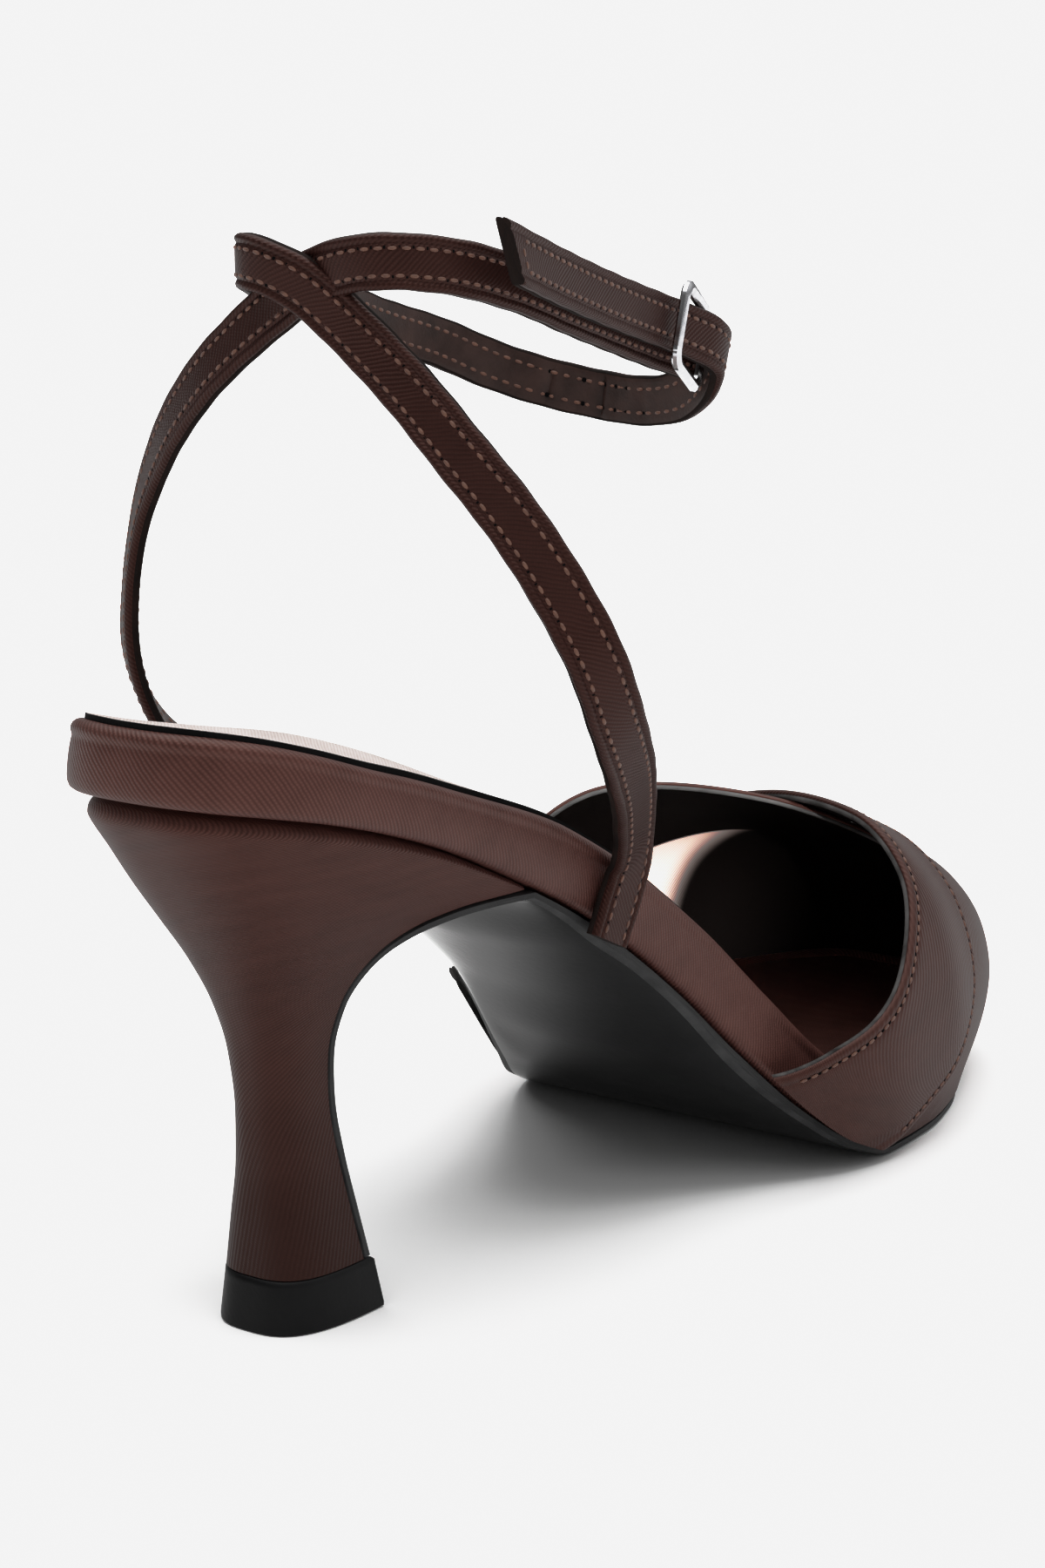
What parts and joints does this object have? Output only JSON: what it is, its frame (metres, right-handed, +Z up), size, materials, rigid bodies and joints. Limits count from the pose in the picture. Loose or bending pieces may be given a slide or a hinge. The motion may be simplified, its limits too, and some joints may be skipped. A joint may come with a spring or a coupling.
{
  "type": "ankle-wrap high-heel shoe",
  "caption": "Open-back, closed-toe shoe on a high flared heel, with crossing vamp bands and ankle straps that cross behind the ankle and close with a side buckle.",
  "frame": {"origin": "bottom centre of the bounding box, on the floor under the middle of the shoe", "axes": "+X to the toe, +Y to the medial side, which is the left of this right shoe, and +Z up"},
  "size_m": [0.2082, 0.0941, 0.1567],
  "materials": {
    "satin": "brown satin twill with a soft sheen",
    "outsole": "glossy black sheet",
    "sock": "pale woven lining",
    "lift": "matt black",
    "buckle": "polished"
  },
  "bodies": {
    "root": {"outsole": "outsole", "wrapped_insole": "satin", "insole_sock": "sock", "heel": "satin", "top_lift": "lift", "vamp": "satin", "ankle_straps": "satin", "buckle_frame": "buckle"}
  },
  "joints": []
}
